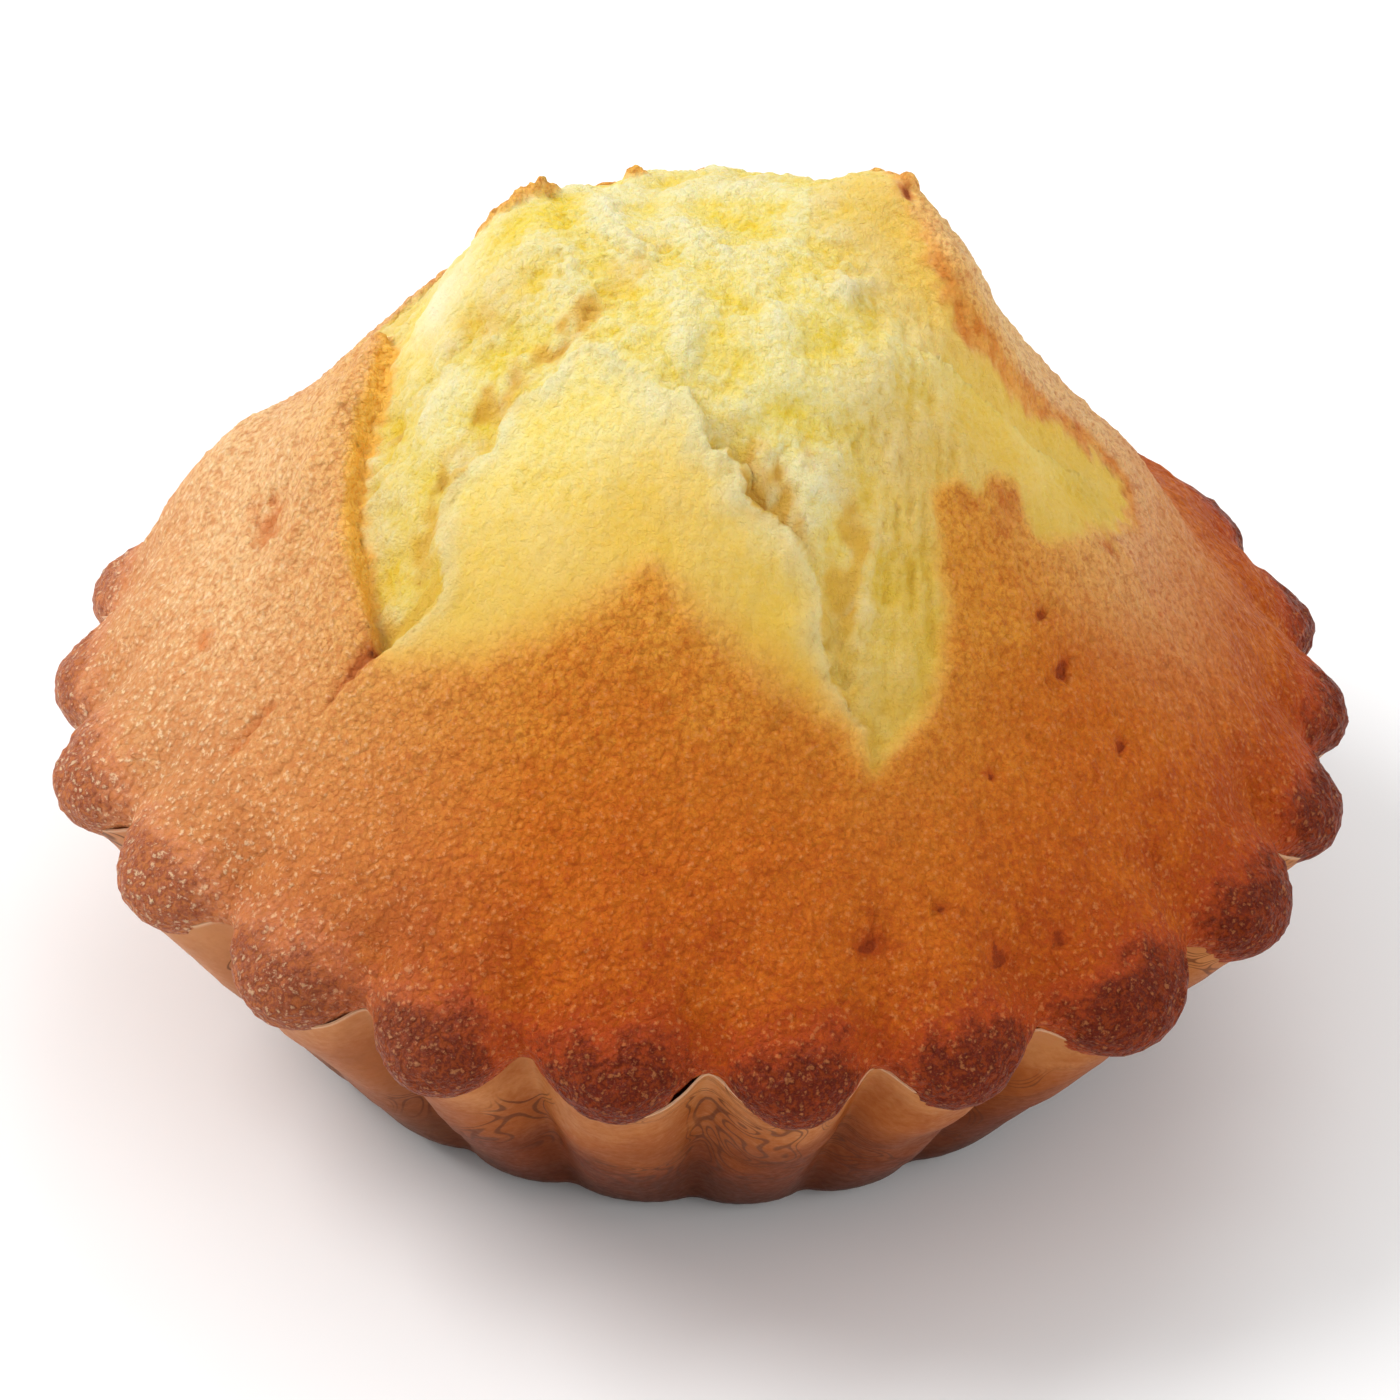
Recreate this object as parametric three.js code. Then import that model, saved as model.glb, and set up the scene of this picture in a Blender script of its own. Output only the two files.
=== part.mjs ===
// A round madeleine cake in its fluted paper case. Millimetres, +Z up.
// The origin is at the middle of the flat base, on the surface that the case stands on.
// Azimuths run from the front (-Y) towards the right (+X).

import * as THREE from "three";

// Paper case
const FLUTES = 22;
const RIM_RADIUS = 40;
const BASE_RADIUS = 25.5;
const RIM_HEIGHT = 19;
const FLUTE_DEPTH_AT_BASE = 0.9;
const FLUTE_DEPTH_AT_RIM = 3.6;
const FOLD_RISE = 2.0;
const PAPER_OFFSET = 0.65;
const FLOOR_THICKNESS = 0.4;
const FIRST_FLUTE_DEG = -6.1;

// Cake, from the paper inwards and upwards
const GAP_OFFSET = 0.65;
const FLOOR_GAP = 0.3;
const LIP_RADIUS = 39.9;
const LIP_HEIGHT = 1.7;
const VALLEY_INSET = 4.8;
const GROOVE_DEPTH = 3.5;
const GROOVE_START = 30;
const GROOVE_END = 35.5;
const FLUTED_SHARE = 0.75;
const CRUST_STEP = 1.6;
const STEP_WIDTH = 2.2;
const SOFT_EDGE_FRONT = -21;
const SOFT_EDGE_BACK = -14;
const CRUMB_RISE_END = 6.6;
const CRACK_DEPTH = 1.4;
const CRACK_WIDTH = 1.2;

// Mesh density
const STEPS_PER_FLUTE = 6;
const CURVE_STEPS = 6;
const WALL_LEVELS = [0, 0.12, 0.4, 0.7, 1];
const DOME_SHARES = [
  1, 0.985, 0.955, 0.91, 0.86, 0.8, 0.74, 0.69, 0.64, 0.59,
  0.54, 0.49, 0.44, 0.39, 0.33, 0.27, 0.2, 0.12,
];

// Height of the dome above the rim, radius by radius
const DOME_PROFILE = [
  [0, 34.2], [6, 34.6], [12, 32.6], [18, 26.6], [23, 20.6], [28, 14.3],
  [32, 9.9], [35.5, 5.9], [38.2, 3.0], [LIP_RADIUS, LIP_HEIGHT],
];

// Rises and hollows of the baked dome: middle x and y, width, height
const SWELLS = {
  rightPeak: [11, 5, 5, 3.6],
  rightRidge: [15, 0, 4.5, 2.2],
  leftShoulder: [-13.5, 3, 5.5, 2.0],
  crumbCrown: [-3, 6, 7, 1.2],
  leftFlank: [-25, 2, 6, 1.7],
  backLeftFlank: [-31, 8, 5, 2.0],
  rightFlank: [26, 4, 5.5, 1.2],
  rightHollow: [19, 19, 9, -3.6],
  leftHollow: [-17, 17, 9, 0.6],
  frontBrow: [-3, -20, 8, 0.8],
};

// Uneven spacing of the flutes, as harmonics of the azimuth: number, sine and cosine parts
const FLUTE_DRIFT_DEG = [[4, -1.16, -0.48], [5, 0.37, 0.48], [8, 0.43, 0.28]];

// Edge of the torn-open crust, as corners of one smooth closed curve
const OPENING = [
  [-20.5, 4], [-21.8, -6.7], [-20.9, -13.3], [-17.6, -18.9], [-9.4, -20.7], [-3.2, -19.6],
  [5.7, -23.2], [10.1, -25.2], [13.9, -18], [13, -13], [17.6, -8.8], [20.6, -9.5],
  [25.9, -2.8], [24, 1.4], [17.4, -1.2], [12.9, 0.6], [10.6, 6.6], [0, 14.5],
  [-10.5, 13.5], [-19.5, 11],
];

// Deep tears in the crumb
const CRACKS = [
  [[-5.6, -4.2], [-8.9, -8.2], [-12.9, -9.7], [-16.3, -13.8], [-18.6, -16.4]],
  [[2.4, -15.6], [3.8, -16.6], [5.4, -17.8]],
  [[8, -15.4], [8, -18.6], [7.6, -21.2], [9.4, -23.6]],
];

const TURN = 2 * Math.PI;
const FLUTE_STEP = TURN / FLUTES;

function fluteDrift(azimuth) {
  let degrees = 0;
  for (const [harmonic, sine, cosine] of FLUTE_DRIFT_DEG) {
    degrees += sine * Math.sin(harmonic * azimuth) + cosine * Math.cos(harmonic * azimuth);
  }
  return THREE.MathUtils.degToRad(degrees);
}

// 1 on the round crown of a flute, 0 in the sharp fold between two flutes
function fluteCrown(flutePosition) {
  return Math.abs(Math.cos(Math.PI * flutePosition));
}

function azimuthOf(flutePosition) {
  const regular = THREE.MathUtils.degToRad(FIRST_FLUTE_DEG) + flutePosition * FLUTE_STEP;
  return regular + fluteDrift(regular);
}

function polarPoint(azimuth, radius, height) {
  return new THREE.Vector3(radius * Math.sin(azimuth), -radius * Math.cos(azimuth), height);
}

function ring(pointAt) {
  const points = [];
  for (let step = 0; step < FLUTES * STEPS_PER_FLUTE; step++) {
    points.push(pointAt(step / STEPS_PER_FLUTE));
  }
  return points;
}

// Closed body: a pole, rings that run from it to the other pole, and that pole
function bodyFromRings(firstPole, rings, lastPole) {
  const count = rings[0].length;
  const points = [firstPole, ...rings.flat(), lastPole];
  const last = points.length - 1;
  const faces = [];
  for (let i = 0; i < count; i++) {
    const next = (i + 1) % count;
    faces.push(0, 1 + next, 1 + i);
    for (let level = 0; level + 1 < rings.length; level++) {
      const low = 1 + level * count;
      const high = low + count;
      faces.push(low + i, low + next, high + next, low + i, high + next, high + i);
    }
    faces.push(last, last - count + i, last - count + next);
  }
  const geometry = new THREE.BufferGeometry().setFromPoints(points);
  geometry.setIndex(faces);
  geometry.computeVertexNormals();
  return geometry;
}

// Point of the fluted wall at a level from 0, the base, to 1, the rim
function wallPoint(flutePosition, level, inset, lift) {
  const crown = fluteCrown(flutePosition);
  const depth = THREE.MathUtils.lerp(FLUTE_DEPTH_AT_BASE, FLUTE_DEPTH_AT_RIM, level);
  const crownRadius = THREE.MathUtils.lerp(BASE_RADIUS, RIM_RADIUS, level);
  const radius = crownRadius - depth * (1 - crown) - inset;
  const top = RIM_HEIGHT + FOLD_RISE * (1 - crown);
  return polarPoint(azimuthOf(flutePosition), radius, Math.max(level * top, lift));
}

function wallRings(inset, lift) {
  return WALL_LEVELS.map((level) => ring((position) => wallPoint(position, level, inset, lift)));
}

function paperCase() {
  const outside = wallRings(0, 0);
  const inside = wallRings(PAPER_OFFSET, FLOOR_THICKNESS).reverse();
  const underside = new THREE.Vector3(0, 0, 0);
  const floor = new THREE.Vector3(0, 0, FLOOR_THICKNESS);
  return bodyFromRings(underside, [...outside, ...inside], floor);
}

function profileHeight(radius) {
  let index = 1;
  while (index < DOME_PROFILE.length - 1 && DOME_PROFILE[index][0] < radius) index++;
  const [innerRadius, innerHeight] = DOME_PROFILE[index - 1];
  const [outerRadius, outerHeight] = DOME_PROFILE[index];
  const share = (radius - innerRadius) / (outerRadius - innerRadius);
  return THREE.MathUtils.lerp(innerHeight, outerHeight, share);
}

function swellHeight(x, y) {
  let height = 0;
  for (const [middleX, middleY, width, rise] of Object.values(SWELLS)) {
    const distance = Math.hypot(x - middleX, y - middleY) / width;
    height += rise * Math.exp(-distance * distance);
  }
  return height;
}

function smoothCurve(corners, closed) {
  const nodes = corners.map(([x, y]) => new THREE.Vector3(x, y, 0));
  const curve = new THREE.CatmullRomCurve3(nodes, closed, "centripetal");
  return curve.getPoints(corners.length * CURVE_STEPS);
}

const openingOutline = smoothCurve(OPENING, true);
const crackLines = CRACKS.map((corners) => smoothCurve(corners, false));

function distanceToLine(x, y, line) {
  const here = new THREE.Vector3(x, y, 0);
  const nearest = new THREE.Vector3();
  let shortest = Infinity;
  for (let i = 0; i + 1 < line.length; i++) {
    new THREE.Line3(line[i], line[i + 1]).closestPointToPoint(here, true, nearest);
    shortest = Math.min(shortest, nearest.distanceTo(here));
  }
  return shortest;
}

function isInside(x, y, outline) {
  let inside = false;
  for (let i = 0; i + 1 < outline.length; i++) {
    const a = outline[i];
    const b = outline[i + 1];
    const crosses = a.y > y !== b.y > y;
    if (crosses && x < a.x + ((b.x - a.x) * (y - a.y)) / (b.y - a.y)) inside = !inside;
  }
  return inside;
}

// The crumb lies a step below the crust, rises again inside it, and the cracks cut deeper.
// At the front the crust runs into the crumb without a step.
function openingHeight(x, y) {
  if (!isInside(x, y, openingOutline)) return 0;
  const edge = distanceToLine(x, y, openingOutline);
  const step = CRUST_STEP * THREE.MathUtils.smoothstep(y, SOFT_EDGE_FRONT, SOFT_EDGE_BACK);
  let height = -step * THREE.MathUtils.smoothstep(edge, 0, STEP_WIDTH);
  height += step * THREE.MathUtils.smoothstep(edge, STEP_WIDTH, CRUMB_RISE_END);
  for (const line of crackLines) {
    const across = distanceToLine(x, y, line) / CRACK_WIDTH;
    height -= CRACK_DEPTH * Math.exp(-across * across);
  }
  return height;
}

// The dome at a share of the way from the middle to the edge of the cake
function domePoint(flutePosition, share) {
  const crown = fluteCrown(flutePosition);
  const edgeRadius = LIP_RADIUS - VALLEY_INSET * (1 - crown);
  const fluted = THREE.MathUtils.smoothstep(share, FLUTED_SHARE, 1);
  const radius = share * THREE.MathUtils.lerp(LIP_RADIUS, edgeRadius, fluted);
  const point = polarPoint(azimuthOf(flutePosition), radius, RIM_HEIGHT + profileHeight(radius));
  const groove = THREE.MathUtils.smoothstep(radius, GROOVE_START, GROOVE_END);
  point.z -= GROOVE_DEPTH * groove * (1 - crown);
  point.z += swellHeight(point.x, point.y) * (1 - groove) + openingHeight(point.x, point.y);
  return point;
}

function cake() {
  const inset = PAPER_OFFSET + GAP_OFFSET;
  const lift = FLOOR_THICKNESS + FLOOR_GAP;
  const wall = wallRings(inset, lift);
  const dome = DOME_SHARES.map((share) => ring((position) => domePoint(position, share)));
  const underside = new THREE.Vector3(0, 0, lift);
  const top = domePoint(0, 0);
  return bodyFromRings(underside, [...wall, ...dome], top);
}

function namedMesh(name, geometry, material) {
  const mesh = new THREE.Mesh(geometry, new THREE.MeshStandardMaterial(material));
  mesh.name = name;
  return mesh;
}

const group = new THREE.Group();
group.add(namedMesh("cake", cake(), { color: 0xc8842f, roughness: 0.8, metalness: 0 }));
group.add(namedMesh("paper_case", paperCase(), { color: 0xae6a3b, roughness: 0.6, metalness: 0 }));

export default group;
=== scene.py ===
"""A round madeleine cake, burst open on top, in its fluted paper case."""
import math
import random

import bpy
import numpy as np
from mathutils import Matrix, Vector, noise


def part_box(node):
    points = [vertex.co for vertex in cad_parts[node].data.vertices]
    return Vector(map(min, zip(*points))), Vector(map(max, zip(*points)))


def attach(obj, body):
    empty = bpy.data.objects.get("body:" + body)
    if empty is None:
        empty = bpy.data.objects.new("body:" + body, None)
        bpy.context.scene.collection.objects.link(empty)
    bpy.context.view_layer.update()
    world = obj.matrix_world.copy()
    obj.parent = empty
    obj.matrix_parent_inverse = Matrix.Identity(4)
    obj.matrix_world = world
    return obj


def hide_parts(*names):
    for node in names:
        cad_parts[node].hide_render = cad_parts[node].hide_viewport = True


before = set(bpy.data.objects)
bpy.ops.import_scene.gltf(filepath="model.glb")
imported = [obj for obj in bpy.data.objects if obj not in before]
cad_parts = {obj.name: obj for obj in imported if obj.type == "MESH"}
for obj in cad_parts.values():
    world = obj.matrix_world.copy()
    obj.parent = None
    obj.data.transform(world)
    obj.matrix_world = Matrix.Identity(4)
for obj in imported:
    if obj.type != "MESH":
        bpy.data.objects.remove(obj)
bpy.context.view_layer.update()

# All sizes below are in millimetres, azimuths run from the front (-Y) towards the right (+X)
MM = 0.001
case_low, case_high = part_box("paper_case")

FLUTES = 22
FOLD_RISE = 2.0
FOLD_DEPTH_AT_BASE = 0.9
FOLD_DEPTH_AT_RIM = 3.6
RIM_RADIUS = (case_high.x - case_low.x) / 2 / MM
RIM_HEIGHT = case_high.z / MM - FOLD_RISE
BURST_FLOOR = RIM_HEIGHT + 4
BASE_RADIUS = 25.4
BASE_ROUNDING = 0.2
PAPER_THICKNESS = 0.13
# The paper's top edge droops and is tucked in under the lobes, and its folds stand uneven
RIM_DROOP = 0.9
RIM_TUCK = 0.022
FOLD_DROP = 0.5
FIRST_FLUTE = math.radians(-6.1)
# Uneven spacing of the flutes: harmonic of the azimuth, sine part and cosine part in degrees
FLUTE_DRIFT = ((4, -1.16, -0.48), (5, 0.37, 0.48), (8, 0.43, 0.28))

# Outline of the torn opening, seen from above: x, y, softness of the crumb's edge,
# height of the crust lip, width of its browned band
OPENING = (
    (-20.5, 4.0, 0.4, 1.1, 1.0), (-20.8, 0.2, 0.4, 1.5, 1.5), (-21.5, -3.0, 0.4, 1.8, 1.6),
    (-21.8, -6.7, 0.4, 2.0, 1.5), (-21.7, -9.9, 0.4, 2.2, 1.5), (-20.9, -13.3, 0.4, 2.2, 1.3),
    (-19.9, -16.2, 0.5, 1.8, 0.9), (-19.0, -18.0, 0.7, 0.8, 0.2), (-17.6, -18.9, 1.2, 0.0, 0.0),
    (-13.4, -20.4, 1.5, 0.0, 0.0), (-9.4, -20.7, 1.6, 0.0, 0.0), (-6.0, -20.4, 1.3, 0.0, 0.0),
    (-3.2, -19.6, 0.7, 0.0, 0.0), (-0.9, -20.9, 1.3, 0.0, 0.0), (2.1, -22.2, 1.7, 0.0, 0.0),
    (5.7, -23.2, 1.6, 0.0, 0.0), (8.7, -24.0, 1.3, 0.2, 0.0), (10.1, -25.2, 0.9, 0.5, 0.0),
    (11.9, -23.6, 0.8, 0.3, 0.0), (13.5, -21.1, 0.8, 0.2, 0.0), (13.9, -18.0, 0.8, 0.2, 0.0),
    (13.4, -15.7, 0.7, 0.2, 0.0), (13.0, -13.0, 0.5, 0.2, 0.0), (14.2, -11.4, 0.4, 0.2, 0.0),
    (15.4, -11.2, 0.4, 0.2, 0.0), (16.4, -9.5, 0.4, 0.2, 0.0), (17.6, -8.8, 0.4, 0.2, 0.0),
    (19.0, -10.1, 0.5, 0.2, 0.0), (20.6, -9.5, 0.6, 0.2, 0.0), (22.0, -7.7, 0.6, 0.3, 0.0),
    (24.1, -5.6, 0.6, 0.4, 0.4), (25.9, -2.8, 0.5, 0.7, 0.9), (25.6, 0.2, 0.5, 0.8, 1.1),
    (24.0, 1.4, 0.5, 0.8, 1.1), (22.0, 1.3, 0.5, 0.8, 1.2), (20.1, 0.6, 0.6, 0.8, 1.3),
    (17.4, -1.2, 0.7, 0.8, 1.6), (15.1, -1.5, 0.8, 0.8, 1.5), (12.9, 0.6, 0.9, 0.7, 0.9),
    (11.4, 3.7, 0.9, 0.6, 0.7), (10.6, 6.6, 0.7, 0.5, 0.9), (9.6, 10.2, 0.4, 0.7, 0.5),
    (5.5, 13.5, 0.4, 0.8, 0.3), (0.0, 14.5, 0.4, 0.9, 0.4), (-5.5, 14.5, 0.4, 1.0, 0.5),
    (-10.5, 13.5, 0.4, 1.0, 0.6), (-15.0, 13.0, 0.4, 0.9, 0.4), (-19.5, 11.0, 0.4, 0.5, 0.2),
    (-21.6, 7.5, 0.4, 0.3, 0.1),
)
# Ragged edge of the smooth tongue of crumb in front: x, y, height of its torn step
TORN_EDGE = (
    (-18.5, -17.8, 0.4), (-16.9, -18.0, 0.7), (-15.6, -17.5, 0.8), (-15.5, -15.7, 0.7),
    (-15.8, -12.6, 0.6), (-14.0, -12.0, 0.5), (-12.5, -11.6, 0.6), (-11.8, -9.9, 0.5),
    (-9.9, -10.3, 0.4), (-8.4, -9.1, 0.2), (-6.8, -9.0, 0.0), (-4.4, -11.4, 0.0),
    (-2.5, -12.5, 0.4), (-1.4, -12.7, 1.0), (-0.9, -13.8, 1.1), (-0.1, -15.0, 1.2),
    (1.6, -15.5, 1.3), (1.7, -16.8, 1.4), (2.9, -17.3, 1.4), (4.4, -17.7, 1.1),
    (4.9, -18.2, 0.9), (6.6, -19.4, 0.7), (6.8, -21.3, 0.7), (8.0, -22.9, 0.7), (9.4, -23.7, 0.6),
)
TONGUE_FRONT = ((10.5, -27.0, 0.0), (-3.0, -26.0, 0.0), (-20.0, -22.0, 0.0))
# Deep tears in the crumb: x, y, half width, depth
TEARS = (
    (
        (-4.6, -0.8, 1.3, 0.4), (-5.6, -4.2, 1.1, 0.7), (-6.9, -6.0, 0.8, 1.2),
        (-7.8, -6.6, 0.7, 1.4), (-8.9, -8.2, 0.8, 1.6), (-10.5, -8.3, 0.6, 0.9),
        (-11.8, -8.7, 0.8, 1.3), (-12.9, -9.7, 1.0, 1.3), (-13.9, -10.9, 0.8, 0.7),
        (-15.4, -11.7, 0.9, 1.2), (-16.3, -13.8, 1.0, 1.2), (-16.5, -15.6, 0.6, 0.6),
        (-17.0, -17.0, 0.8, 1.4), (-18.6, -16.4, 0.7, 1.6), (-19.0, -15.0, 0.4, 0.6),
    ),
    ((-12.7, -5.4, 0.8, 0.4), (-14.2, -3.6, 1.0, 0.7), (-15.8, -4.3, 0.8, 0.4)),
    (
        (0.9, -14.0, 0.4, 0.4), (2.4, -15.6, 0.9, 1.5), (3.8, -16.6, 1.0, 1.7),
        (5.4, -17.8, 0.5, 0.7),
    ),
    (
        (5.6, -14.2, 0.4, 0.6), (6.9, -15.0, 0.4, 0.3), (8.0, -15.4, 0.5, 1.0),
        (8.5, -17.2, 0.6, 1.5), (8.0, -18.6, 0.7, 1.6), (7.7, -19.8, 0.8, 1.1),
        (7.6, -21.2, 0.6, 0.8), (8.4, -23.0, 0.7, 1.1), (9.4, -23.6, 0.7, 1.6),
        (10.6, -23.0, 0.7, 1.3), (11.8, -22.3, 0.4, 0.5),
    ),
)
# Cracks of the crust beside the burst: x, y, half width, depth
CREASES = (
    (
        (-19.0, -17.6, 0.5, 1.0), (-20.5, -18.1, 0.45, 0.8), (-21.6, -18.9, 0.35, 0.5),
        (-23.0, -19.4, 0.3, 0.2),
    ),
    ((-24.7, -17.0, 0.35, 0.5), (-26.4, -17.5, 0.45, 0.8)),
    ((-26.7, -18.0, 0.4, 0.8), (-27.7, -17.9, 0.3, 0.5)),
    ((-18.3, -30.2, 0.3, 0.2), (-17.2, -30.7, 0.35, 0.3), (-15.6, -31.3, 0.3, 0.2)),
)
# Low folds of the crust beside the left lip: x, y, half width, height
FOLDS = (
    (
        (-21.2, 2.5, 0.8, 0.5), (-22.4, -0.5, 0.9, 0.9), (-23.6, -4.0, 1.0, 1.1),
        (-25.0, -7.2, 1.0, 0.8), (-26.6, -10.5, 1.2, 0.1),
    ),
)
# Scorched spots and pits: x, y, radius, depth, strength of the colour
SPOTS = (
    (-29.8, -9.4, 1.1, 0.3, 0.8), (-26.2, -4.8, 1.7, 0.9, 0.8), (-27.4, -2.4, 1.5, 0.5, 0.5),
    (19.6, -14.1, 0.7, 0.7, 1.0), (21.1, -15.6, 1.0, 0.8, 1.0), (17.0, -22.9, 0.6, 0.5, 0.9),
    (10.4, -31.9, 0.9, 0.8, 1.0), (18.0, -30.1, 1.2, 0.7, 1.0), (21.5, -28.2, 1.0, 0.6, 1.0),
    (14.4, -29.7, 0.6, 0.5, 0.9), (24.8, -17.1, 0.7, 0.6, 0.9), (24.0, -6.2, 1.3, 0.1, 0.6),
    (14.8, -12.2, 1.6, 0.0, 0.5), (17.4, -10.6, 1.8, 0.0, 0.6), (10.8, 4.0, 0.8, 0.3, 0.9),
    (21.8, 0.9, 0.7, 0.2, 0.7), (20.0, 0.2, 0.5, 0.1, 0.6), (18.4, -0.6, 0.6, 0.1, 0.5),
    (24.9, -0.4, 0.7, 0.3, 0.7), (25.6, -2.0, 0.6, 0.2, 0.6), (13.9, -0.8, 0.6, 0.1, 0.4),
    (-18.8, -5.7, 0.6, 0.0, 0.6), (30.5, -9.0, 0.6, 0.3, 0.5),
    (2.0, -29.5, 0.5, 0.2, 0.3), (-6.0, -27.0, 0.6, 0.2, 0.25), (-22.5, -21.0, 0.4, 0.3, 0.4),
)
# Flakes of crust that stand up behind the crumb: x, y, radius, rise
FLAKES = (
    (-14.3, 4.6, 0.7, 0.7), (-13.0, 5.2, 0.9, 1.1), (-11.7, 5.9, 0.9, 1.2), (-10.6, 6.8, 0.7, 0.8),
    (-5.4, 9.4, 0.6, 0.7), (-20.4, 5.0, 0.7, 0.5), (10.9, 5.4, 0.6, 0.5), (9.0, 7.6, 0.6, 0.4),
)

# Soft ellipses on the crumb: x, y, half length, half width, turn in degrees
SILKY_WING = (17.5, -5.8, 6.5, 3.4, -15)
# The top left ellipse is also where the finish paints a cream highlight
SILKY_TOP_LEFT = (-17.4, 1.8, 2.8, 3.8)
# A hollow at the top left, painted deeper yellow as shade
DEEP_YELLOW_LEFT = (-12.8, -3.2, 3.5, 2.6)
STREAKED = ((12.5, -9.0, 2.8, 6.5), (11.5, -17.0, 2.2, 5.0))
# The lip is the wide and low one of the right side beyond this x
RIGHT_SIDE = 5
RIGHT_LIP_SLOPE = 3.2
# Distance that stands for the wall and the lobes, which the burst doesn't reach
FAR_OUTSIDE = -20
# Pits are drawn together down the slope by this much, which leaves them round on it
PIT_STRETCH = 1.7

# The lobes at the back left stay small: middle azimuth, spread, drop and share of the radius
SMALL_LOBES = (math.radians(-118), math.radians(24), 1.5, 0.032)
# Chance shares of the radius and heights by which one lobe differs from the next
LOBE_GROWTH = (-0.009, 0.006)
LOBE_RISE = (-0.3, 0.45)

# Height of the dome above the rim, by distance from the middle
DOME = ((0, 34.0), (6, 34.5), (12, 32.3), (18, 26.3), (23, 20.3), (28, 14.2), (31.2, 10.8))
# Flat base and flutes of the cake inside the paper: radius and height on the crown of a flute
CAKE_WALL = ((23.6, 0.3), (24.5, 0.6), (30.6, 9.0), (36.4, RIM_HEIGHT - 3.4))
# Radius of the folds of that wall at height 0, and how much it grows with height
CAKE_FOLD_RADIUS = 23.0
CAKE_FOLD_SPREAD = 0.567
# Lobes at the rim: radius and height on the crown of a flute, then in the fold beside it
LOBE = (
    (38.4, -2.0, 33.4, -0.6), (39.8, -1.4, 34.4, 0.5), (40.6, -0.1, 36.0, 1.2),
    (40.7, 1.2, 36.6, 1.8), (40.1, 2.3, 36.5, 2.5), (39.0, 3.3, 36.1, 3.4),
    (37.5, 4.4, 35.3, 4.6), (35.6, 6.1, 34.4, 6.2), (33.5, 8.3, 33.2, 8.3),
    (31.4, 10.6, 31.4, 10.6),
)
# Rises and hollows of the dome: x, y, rise, reach
SWELLS = (
    (11.0, 5.0, 3.6, 8.5), (15.0, 0.0, 2.2, 8.0), (-13.5, 3.0, 2.0, 10.0),
    (-4.0, 6.0, -0.5, 9.0), (7.0, 6.0, 0.5, 6.0), (19.0, 19.0, -3.6, 16.0),
    (-17.0, 17.0, 0.6, 16.0), (-3.0, -20.0, 0.8, 14.0), (-25.0, 2.0, 1.7, 11.0),
    (-31.0, 8.0, 2.6, 9.0), (26.0, 4.0, 1.2, 10.0), (31.0, 8.0, -1.2, 8.0),
)

# Relief of the torn crumb, then of the crust: name, points it moves, size, layers, strength
CRUMB_RELIEF = (
    ("lumps", "lumpy_crumb", 3.2, 1, 1.15), ("clods", "open_crumb", 1.3, 1, 0.55),
    ("curds", "open_crumb", 0.85, 1, -0.35), ("pores", "open_crumb", 0.55, 1, 0.5),
    ("crumb_waves", "any_crumb", 4.0, 1, 0.5), ("crumb_grain", "any_crumb", 0.45, 1, 0.3),
)
CRUST_RELIEF = (
    ("crust_waves", "crust", 5.0, 2, 0.5), ("crust_grain", "crust", 1.1, 2, 0.36),
    ("crust_pips", "crust", 0.5, 1, 0.34),
)
STREAK_HEIGHT = 0.42
PAPER_CREASES = ("creases", "creased", 7.0, 2, 0.9)
# Kind of noise of the reliefs that don't use the plain one
CELLULAR = {"curds": "VORONOI_F1"}
# Numbers that are kept for each point of the cake, for its finish to read
FIELDS = ("crumb", "lip", "tear_shade", "smooth", "scorch_and_crease_shade", "near", "torn_edge_highlight", "lobe", "relief")

# Mesh density: steps in a flute, spacing of the dome's rings, radii inside which columns join
CAKE_STEPS = 6
CASE_STEPS = 8
CASE_LEVELS = (0.02, 0.07, 0.25, 0.45, 0.65, 0.85, 1.0)
RING_SPACING = 0.92
THINNED_INSIDE = (10.0, 4.5)
POLE_RADIUS = 0.7
RING_STEP = 0.04
ROUND_CROWNS = 1.35

# Camera, sky and lights: name, azimuth and elevation in degrees, distance and size in metres, power
CAMERA_ELEVATION = math.radians(36.25)
CAMERA_ROLL = math.radians(2.78)
CAMERA_DISTANCE = 0.400
CAMERA_SENSOR = 36
CAMERA_LENS = 165.8
CAMERA_SHIFT = (0.0003, 0.0081)
SKY_STRENGTH = 0.69
LIGHTS = (
    ("key", -98, 45, 0.7, 0.4, 3.0), ("back", 165, 50, 0.7, 0.4, 0.9),
    ("fill", 45, 30, 0.8, 0.5, 1.2),
)
LIGHT_AIM = Vector((0, 0, 0.02))
FLOOR_SIZE = 2.4
FLOOR_COLOUR = (0.93, 0.93, 0.93, 1)


# ---------------------------------------------------------------- making shapes

def deselect_everything():
    if bpy.context.object and bpy.context.object.mode != "OBJECT":
        bpy.ops.object.mode_set(mode="OBJECT")
    bpy.ops.object.select_all(action="DESELECT")


def points_of(piece):
    """All points of a piece, in millimetres, one row each."""
    flat = np.empty(len(piece.data.vertices) * 3)
    piece.data.vertices.foreach_get("co", flat)
    return flat.reshape(-1, 3) / MM


def normals_of(piece):
    flat = np.empty(len(piece.data.vertices) * 3)
    piece.data.vertices.foreach_get("normal", flat)
    return flat.reshape(-1, 3)


def choose(piece, wanted):
    """Opens a piece for editing with only the wanted points selected."""
    bpy.ops.object.mode_set(mode="OBJECT")
    mesh = piece.data
    for elements in (mesh.edges, mesh.polygons):
        elements.foreach_set("select", np.zeros(len(elements), bool))
    mesh.vertices.foreach_set("select", wanted)
    bpy.ops.object.mode_set(mode="EDIT")
    bpy.ops.mesh.select_mode(type="VERT")


def smoothstep(low, high, value):
    share = np.clip((value - low) / (high - low), 0, 1)
    return share * share * (3 - 2 * share)


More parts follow.
